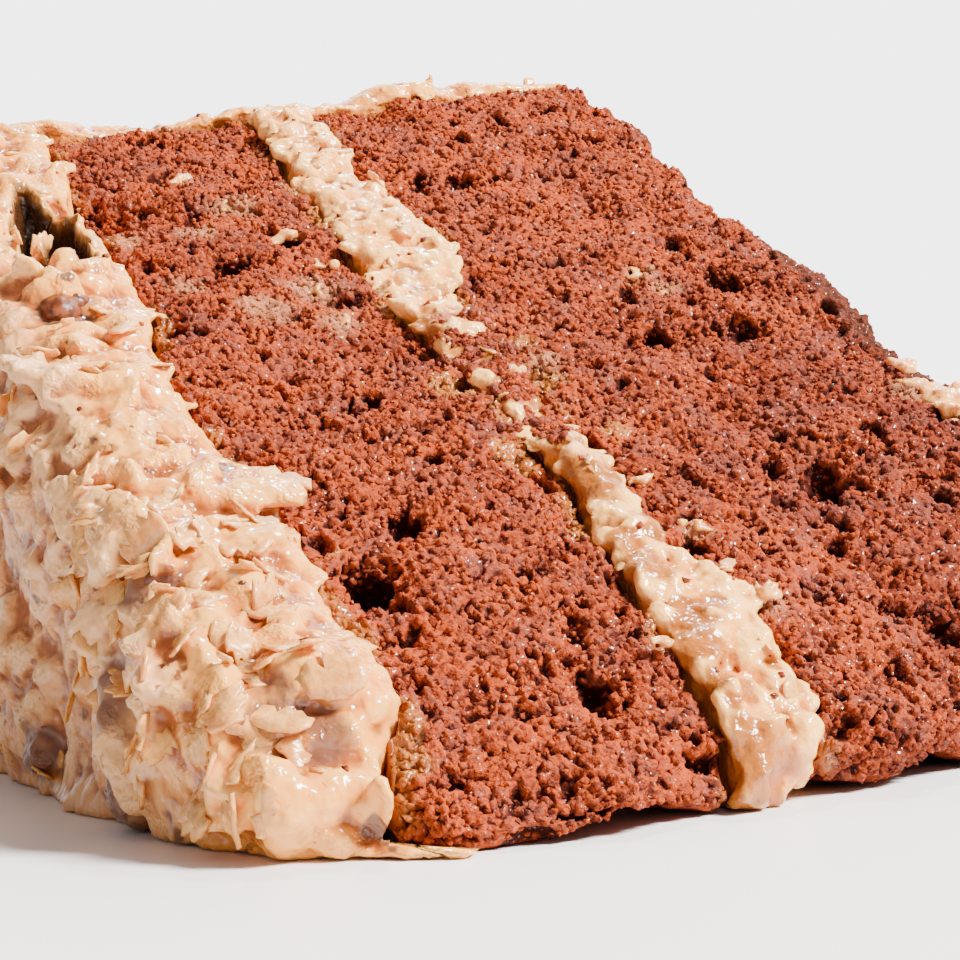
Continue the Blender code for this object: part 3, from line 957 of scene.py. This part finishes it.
base_copy = merged_copy("coconut_frosting", "base_copy")
placed = {"cut": [], "outside": [], "lumps": []}
for kind, *row in FROSTING_SCATTER:
    placed[kind] += set_on(base_copy.data, *row)
placed["lumps"] += lumps_at(LOBE + PALE_LUMPS + NUT_LUMPS) + spread_lumps()
flakes = placed["cut"] + placed["outside"] + flakes_at(LARGE_FLAKES)
frosting, flakes_tree = melted("frosting", base_copy, flakes, placed["lumps"])
sink_hollow(frosting)
sink_hollow(upper_crumb)
thin_hidden(frosting, (sponge_tree, filling_tree), FROSTING_TRIANGLES)
print("frosting thinned to", triangle_count(frosting))

# %% [markdown]
# The finest unevenness is added last. Then the frosting is painted: how far a corner stands above the
# model's plain surface, how hollow it lies, whether it is on a flake or over nut, and whether it is on the
# outside of the cake. The hollows get deep sauce and painted shade, and the outside painted shade.

# %% Roughen and paint the frosting
RIPPLES = ((0.24, 1.8), (0.16, 0.8))
STAND_OUT = 1.6
FLAKE_SKIN = 0.45
HOLLOW_OF_SAUCE_AND_SHADE = 0.35
OUTSIDE_BORDER, OUTSIDE_BLEND = -9.0, 2.5
CRUMBED_MIDDLE, CRUMBED_HALF = 58, 11


def ripple(piece, ripples):
    """Moves the corners in and out by fine waves, each given as its height and size in mm."""
    points = corners(piece.data)
    heights = sum(height * patches(points, size, 1) for height, size in ripples)
    points += corners(piece.data, "normal") * heights[:, None] * MM
    points[:, 2] = np.maximum(points[:, 2], 0)
    move_corners(piece, points)


def paint_sweet(piece, plain_tree, flake_tree, nut_spots):
    """Paints how far the corners stand out, how hollow they lie, and where flakes and nuts are."""
    points = corners(piece.data)
    heights = np.ones(len(points))
    for number, point in enumerate(points):
        place, normal, _, _ = plain_tree.find_nearest(point, STAND_OUT * MM)
        if place is not None:
            heights[number] = (Vector(point) - place).dot(normal) / (STAND_OUT * MM)
    paint(piece, "height", heights)
    paint(piece, "hollow", np.clip(hollows(piece.data, 12) / HOLLOW_OF_SAUCE_AND_SHADE, -1, 1))
    paint(piece, "flake", 1 - distances(flake_tree, points, FLAKE_SKIN) / FLAKE_SKIN)
    nut = np.zeros(len(points))
    uneven = patches(points, 1.6, 2) * 0.5
    for x, r, below, size in nut_spots:
        out = np.linalg.norm(points - np.array(slice_place(x, r, below)), axis=1) / (size * 0.5 * MM)
        nut = np.maximum(nut, share(1.8 - out + uneven))
    paint(piece, "nut", nut)
    x, r, _ = slice_measures(points)
    # Painted shade: the outside of the frosting, away from the light, gets greyer copies of its colours.
    paint(piece, "outside", share((OUTSIDE_BORDER - x) / OUTSIDE_BLEND))
    crumbed = share(1.5 - np.abs(r - CRUMBED_MIDDLE) / CRUMBED_HALF)
    paint(piece, "crumbed", crumbed * (0.7 + patches(points, 2.2, 9) * 1.2))


ripple(frosting, RIPPLES)
paint_sweet(frosting, frosting_tree, flakes_tree, NUT_LUMPS)
print("frosting roughened and painted")

# %% [markdown]
# The sauce is the colour of cream and brown sugar, deeper in the hollows, which is partly deep sauce and
# partly painted shade. Coconut under it is a little paler and greyer, nuts show through as a dull brown,
# which also lies in some low places and gaps as painted shade, and small rusty specks of nut skin lie
# everywhere. The outside, away from the light, is greyer as painted shade. The sauce is glossy, and glints in
# clusters of small spots where a fine bump breaks up its shine.

# %% Finish the frosting
LIT_CUT_TONES = (0.330, 0.078, 0.010), (0.800, 0.265, 0.036), (0.860, 0.375, 0.075)
SHADED_OUTSIDE_TONES = (0.300, 0.092, 0.028), (0.690, 0.285, 0.088), (0.740, 0.385, 0.155)
NUT_VEIL_AND_SHADE = (0.150, 0.058, 0.034)
NUT_SKIN = (0.180, 0.042, 0.010)

sweet = Finish("coconut_frosting", Subsurface_Weight=0.1, Subsurface_Radius=(0.9, 0.45, 0.22),
               Subsurface_Scale=0.0018, Specular_IOR_Level=0.5)
height = sweet.painted("height")
shred = sweet.speckle(0.5, 3)
hollow = sweet.painted("hollow")
# Partly painted shade: the hollow value pulls the colour towards the deep sauce.
creamy = height * 0.35 + sweet.speckle(2.2, 3) + sweet.speckle(7) * 0.4 - hollow * 0.75
flaky = sweet.painted("flake") * 0.5 + height * 0.3 + shred * 0.6 - hollow * 0.5 - 0.2


def mixture(deep, sauce, coconut):
    """Deep sauce and painted shade in the hollows, creamy sauce on the heights and coconut where a flake is
    near.
    """
    return flaky.ease(0.3, 0.95).blend(creamy.ease(0.22, 0.98).blend(deep, sauce), coconut)


# Painted shade: lit colours on the cut side, shaded and greyer copies on the outside.
outside = sweet.painted("outside")
tone = outside.blend(mixture(*LIT_CUT_TONES), mixture(*SHADED_OUTSIDE_TONES))
# Nut brown under the sauce, also laid in low places and dark gaps as painted shade.
nut_veil_and_shade = sweet.painted("nut") + sweet.speckle(3.5).ease(0.62, 0.72) * (1 - height.ease(0.2, 0.7))
tone = (nut_veil_and_shade.ease(0.2, 0.9) * 0.9).blend(tone, NUT_VEIL_AND_SHADE)
specks = sweet.speckle(0.9, 3).ease(0.63, 0.69) * sweet.speckle(6).ease(0.4, 0.6)
tone = (specks * 0.85).blend(tone, NUT_SKIN)
# Painted shade inside the deep hollow.
tone = sweet.painted("sunk").ease(0.02, 0.5).blend(tone, HOLLOW_SHADE)
sweet.set(Base_Color=tone, Roughness=0.07 + shred * 0.16 + outside * 0.22)
sparkling = sweet.speckle(3).ease(0.48, 0.62)
sweet.bump(sweet.speckle(1.0, 1) + sweet.speckle(0.36, 1) * sparkling * 0.75, 0.34, 0.85)
dress(frosting, sweet)
print("frosting finished")

# %% [markdown]
# The filling is the same mixture, a little paler, with clear amber spots and a stretch that is covered with
# crumbs. It is melted together in the same way.

# %% Make the filling
FILLING_TRIANGLES = 90000
FILLING_NUTS = (
    (24.4, 62.0, 0.2, 4.0), (25.4, 56.0, 0.2, 4.0), (25.6, 47.5, 0.4, 3.0), (25.8, 24.5, 0.6, 2.6),
    (24.2, 17.4, 1.6, 3.0), (24.0, 33.0, 0.4, 2.4), (24.2, 41.0, -0.2, 5.0), (22.6, 69.0, 0.0, 3.0),
    (24.0, 13.0, 4.4, 5.6), (23.6, 21.4, 1.3, 3.4), (23.8, 29.5, 0.5, 3.2), (26.8, 34.6, 0.2, 2.8),
)


def filling_shows(places, normals):
    below = slice_measures(places)[2]
    return ((below < 2.0) & (normals[:, 2] > 0.3) | (normals[:, 1] < -0.6)).astype(float)


filling_copy = merged_copy("coconut_filling", "filling_copy")
in_filling = set_on(filling_copy.data, 110, filling_shows, (2.0, 4.5), (1.3, 2.4), 0.7, (-0.1, 0.1))
in_filling += set_on(filling_copy.data, 260, filling_shows, (1.2, 3.0), (0.7, 1.3), 0.2, (-0.2, 0.4))
filling_lumps = set_on(filling_copy.data, 170, filling_shows, (1.6, 3.6), (1.4, 2.8), 0.1, (0, 0))
filling, filling_flakes_tree = melted("filling", filling_copy, in_filling, filling_lumps)
thin_hidden(filling, (sponge_tree,), FILLING_TRIANGLES)
ripple(filling, RIPPLES)
paint_sweet(filling, filling_tree, filling_flakes_tree, FILLING_NUTS)
print("filling thinned to", triangle_count(filling))

# %% Finish the filling
FILLING_SAUCE = (0.760, 0.255, 0.038)
FILLING_PALE = (0.940, 0.480, 0.125)
FILLING_AMBER = (0.300, 0.072, 0.004)

moist = Finish("coconut_filling", Subsurface_Weight=0.12, Subsurface_Radius=(0.9, 0.5, 0.25),
               Subsurface_Scale=0.0018, Specular_IOR_Level=0.5)
height = moist.painted("height")
hollow = moist.painted("hollow")
shred = moist.speckle(0.6, 3)
# Paler on the heights and over flakes, darker in the hollows, which is partly sauce and partly painted shade.
pale_part = height * 0.4 + moist.painted("flake") * 0.4 + shred * 0.6 - hollow * 0.6 - 0.1
tone = pale_part.ease(0.2, 0.95).blend(FILLING_SAUCE, FILLING_PALE)
amber = moist.speckle(2.8).ease(0.50, 0.62) * (hollow * 0.8 + 0.5) + moist.painted("nut")
tone = (amber.ease(0.15, 0.8) * 0.9).blend(tone, FILLING_AMBER)
crumbed = (moist.painted("crumbed") + moist.speckle(0.6, 2) * 0.5 - 0.25).ease(0.35, 0.65)
tone = crumbed.blend(tone, shred.ease(0.3, 0.7).blend(CRUMB_MIDDLE, CRUMB_LIGHT))
moist.set(Base_Color=tone, Roughness=0.08 + shred * 0.16 + crumbed * 0.6)
moist.bump(moist.speckle(1.0, 1) + moist.speckle(0.36, 1) * (crumbed + 0.25), 0.34, 0.85)
dress(filling, moist)
print("filling finished")

# %% [markdown]
# Some flakes stand free of the frosting with crisp, ragged edges. A few bits of coconut lie on the crumb,
# where the knife dragged them, and at the edge of the base.

# %% Add the bare flakes
STRAY_BITS = (
    (13.9, 100.7, 3.4), (8.6, 95.3, 2.8), (15.5, 72.3, 2.4), (15.2, 80.1, 2.2), (10.0, 70.3, 1.8),
    (46.2, 77.1, 2.6), (47.1, 73.6, 2.2), (30.6, 35.0, 2.4), (31.5, 25.1, 2.6), (30.2, 29.0, 2.0),
    (20.7, 21.0, 1.4), (10.8, 110.3, 2.6), (16.5, 92.0, 2.6), (18.2, 86.0, 2.2), (29.4, 42.5, 2.0),
    (61.2, 54.5, 4.0), (62.4, 51.5, 4.6), (61.8, 48.0, 5.0), (62.6, 45.0, 4.0), (60.4, 50.0, 3.0),
)
STRAY_PARTS = (0.8, 0.6, 0.5, 0.4, 0.35)
STRAY_SQUARE = 0.26
BARE_TONES = (0.600, 0.210, 0.045), (0.850, 0.385, 0.105)

bare = Finish("bare_coconut", Subsurface_Weight=0.3, Subsurface_Radius=(1.0, 0.6, 0.3),
              Subsurface_Scale=0.0015, Specular_IOR_Level=0.5)
streak = bare.speckle(0.5, 2)
tone = (streak + bare.speckle(3) * 0.7).ease(0.5, 1.15).blend(*BARE_TONES)
bare.set(Base_Color=tone, Roughness=0.1 + streak * 0.28)
bare.bump(streak + bare.speckle(0.9, 2), 0.14, 0.6)


def stray_matrices():
    """Five overlapping bits at each place, half sunk, so that none has a plain outline."""
    matrices = []
    for x, r, size in STRAY_BITS:
        for part in STRAY_PARTS:
            width = part * size * chance.uniform(0.35, 0.6) * MM
            off_x, off_r = chance.uniform(-0.42, 0.42, 2) * size
            place = slice_place(x + off_x, r + off_r, chance.uniform(-0.2, 0.6))
            turned, lean = chance.uniform(0, 2 * math.pi), chance.uniform(-0.4, 0.5)
            matrices.append(stand(place, CUT_FACING, turned, (part * size * MM, width, width), lean))
    return matrices


free = set_on(frosting.data, 60, frosting_inner, (2.0, 5), (0.9, 1.7), 0.25, (0.0, 0.15))
free += set_on(frosting.data, 60, frosting_near, (1.8, 4.2), (1.0, 2.2), 0.15, (-0.1, 0.3))
free += set_on(frosting.data, 60, frosting_outside, (3, 6), (0.9, 1.8), 0.35, (0.0, 0.1))
free += set_on(filling.data, 24, filling_shows, (1.5, 3.5), (0.8, 1.5), 0.3, (0.0, 0.15))
bare_flakes = joined("bare_flakes", thin_flakes, free + flakes_at(BARE_FLAKES))
stray_coconut = joined("stray_coconut", thick_flakes + grain_shapes, stray_matrices())
remesh(stray_coconut, STRAY_SQUARE, 1)
ripple(stray_coconut, RIPPLES)
dress(bare_flakes, bare)
dress(stray_coconut, bare)
print("bare flake triangles:", triangle_count(bare_flakes), triangle_count(stray_coconut))

# %% [markdown]
# Chips of nut with their dark skin on lie in the frosting and filling, and crumbs of sponge stick to both,
# mostly near the border.

# %% Add nut chips and stray crumbs
NUT_CHIPS = (
    (-8.8, 34.4, 0.6, 3.2), (-7.4, 76.8, -0.9, 3.6), (-5.9, 78.1, -1.0, 2.4), (-11.3, 33.6, 8.4, 3.2),
    (-11.0, 33.2, 14.8, 3.4), (-6.1, 34.4, -0.5, 1.4), (-7.6, 22.4, 0.8, 1.2), (-5.0, 18.0, 1.2, 1.6),
)
NUT_TONES = (0.060, 0.012, 0.004), (0.200, 0.050, 0.014)

nut = Finish("nut_skin", Specular_IOR_Level=0.4)
vein = nut.speckle(0.7, 3)
nut.set(Base_Color=vein.ease(0.3, 0.7).blend(*NUT_TONES), Roughness=0.2 + vein * 0.3)
nut.bump(vein, 0.15, 0.6)


def near_border(places, normals):
    x = slice_measures(places)[0]
    return frosting_cut(places, normals) * (x > -3.0) + filling_shows(places, normals)


def crumbed_filling(places, normals):
    """The stretch of the filling that the knife covered with crumbs."""
    stretch = np.abs(slice_measures(places)[1] - CRUMBED_MIDDLE) < CRUMBED_HALF
    return filling_shows(places, normals) * stretch * (patches(places, 2.2, 9) > -0.1)


chips = lumps_at(NUT_CHIPS)
chips += set_on(frosting.data, 16, frosting_cut, (0.5, 1.0), (0.3, 0.6), 0.12, (0, 0))
chips += set_on(frosting.data, 24, frosting_outside, (0.6, 1.2), (0.4, 0.8), 0.15, (0, 0))
nut_chips = joined("nut_chips", [lump_shape(1, 0.3) for _ in range(8)], chips)
dress(nut_chips, nut)
crumbs = set_on(frosting.data, 40, near_border, (0.3, 0.7), (0.3, 0.6), 0.1, (-1, 1))
crumbs += set_on(filling.data, 50, near_border, (0.3, 0.7), (0.3, 0.6), 0.1, (-1, 1))
crumbs += set_on(filling.data, 520, crumbed_filling, (0.35, 0.9), (0.3, 0.8), 0.1, (-1, 1))
stray_crumbs = joined("stray_crumbs", grain_shapes, crumbs)
paint(stray_crumbs, "depth", np.full(len(stray_crumbs.data.vertices), 0.2))
dress(stray_crumbs, crumb)
print("chips and crumbs:", len(chips), len(crumbs))

# %% [markdown]
# Last, each piece is tied to the model's root, so that it moves with it, and the model's nodes that the
# pieces replace are hidden.

# %% Tie the pieces to the model
SLOTS = {
    "sponge": (upper_crumb, lower_crumb, upper_grains, lower_grains, stray_crumbs),
    "coconut_frosting": (frosting, bare_flakes, stray_coconut, nut_chips),
    "coconut_filling": (filling,),
}
for slot, pieces in SLOTS.items():
    for piece in pieces:
        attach(piece, "root")
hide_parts("upper_sponge")
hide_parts("lower_sponge")
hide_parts("coconut_frosting")
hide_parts("coconut_filling")

counts = {piece.name: triangle_count(piece) for pieces in SLOTS.values() for piece in pieces}
print("triangles:", counts, "in all:", sum(counts.values()))
